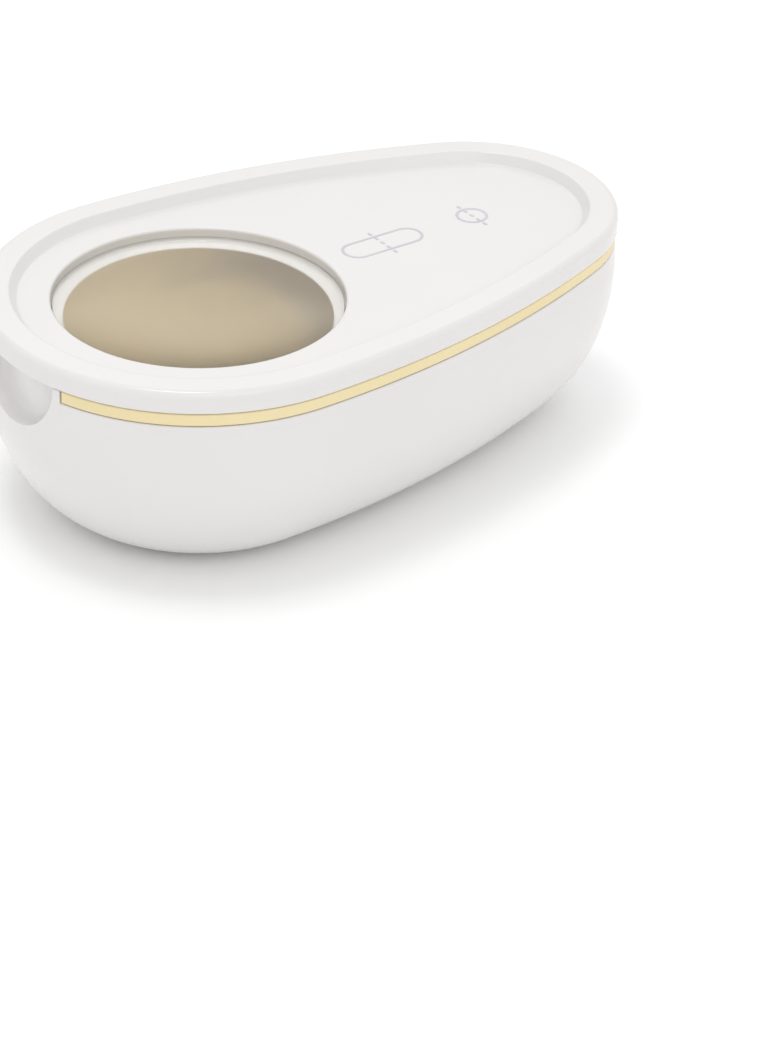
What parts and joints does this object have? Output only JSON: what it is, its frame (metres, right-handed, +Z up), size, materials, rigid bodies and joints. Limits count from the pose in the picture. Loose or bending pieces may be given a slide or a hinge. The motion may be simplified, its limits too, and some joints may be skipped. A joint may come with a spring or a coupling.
{
  "type": "pill splitter",
  "caption": "Egg-shaped pill splitter case with a drop-in tray, a hinged lid with a round window, and a blade behind a sprung guard.",
  "frame": {"origin": "middle of the flat base, under the middle of the bounding box", "axes": "+X towards the narrow hinge end, +Z up, symmetric left and right about the XZ plane"},
  "size_m": [0.096, 0.0586, 0.0317],
  "materials": {
    "shell_white": "satin moulded ABS",
    "liner_white": "fine matt moulded ABS",
    "tray_yellow": "satin moulded polypropylene, pale yellow",
    "window_clear": "clear polished styrene acrylonitrile plastic",
    "steel": "stainless steel"
  },
  "bodies": {
    "base": {"outer_shell": "shell_white", "inner_tray": "tray_yellow", "hinge_pin": "steel"},
    "lid": {"lid_cover": "shell_white", "lid_liner": "liner_white", "window_lens": "window_clear", "blade_holder": "liner_white", "blade_clamp_left": "liner_white", "blade_clamp_right": "liner_white", "blade": "steel", "holder_screw_front_left": "steel", "holder_screw_rear_left": "steel", "holder_screw_rear_right": "steel", "holder_screw_front_right": "steel", "clamp_screw_front_left": "steel", "clamp_screw_rear_left": "steel", "clamp_screw_rear_right": "steel", "clamp_screw_front_right": "steel", "guard_spring_left": "steel", "guard_spring_right": "steel"},
    "guard": {"blade_guard": "liner_white"}
  },
  "joints": [
    {"name": "lid_hinge", "type": "hinge", "parent": "base", "child": "lid", "pos_m": [0.0454, 0, 0.028], "axis": [0, 1, 0], "range_deg": [0, 100]},
    {"name": "guard_slide", "type": "slide", "parent": "lid", "child": "guard", "axis": [0, 0, 1], "range_m": [0, 0.0036], "stiffness_N_per_m": 120, "springref_m": -0.003, "deforming": ["guard_spring_left", "guard_spring_right"]}
  ]
}
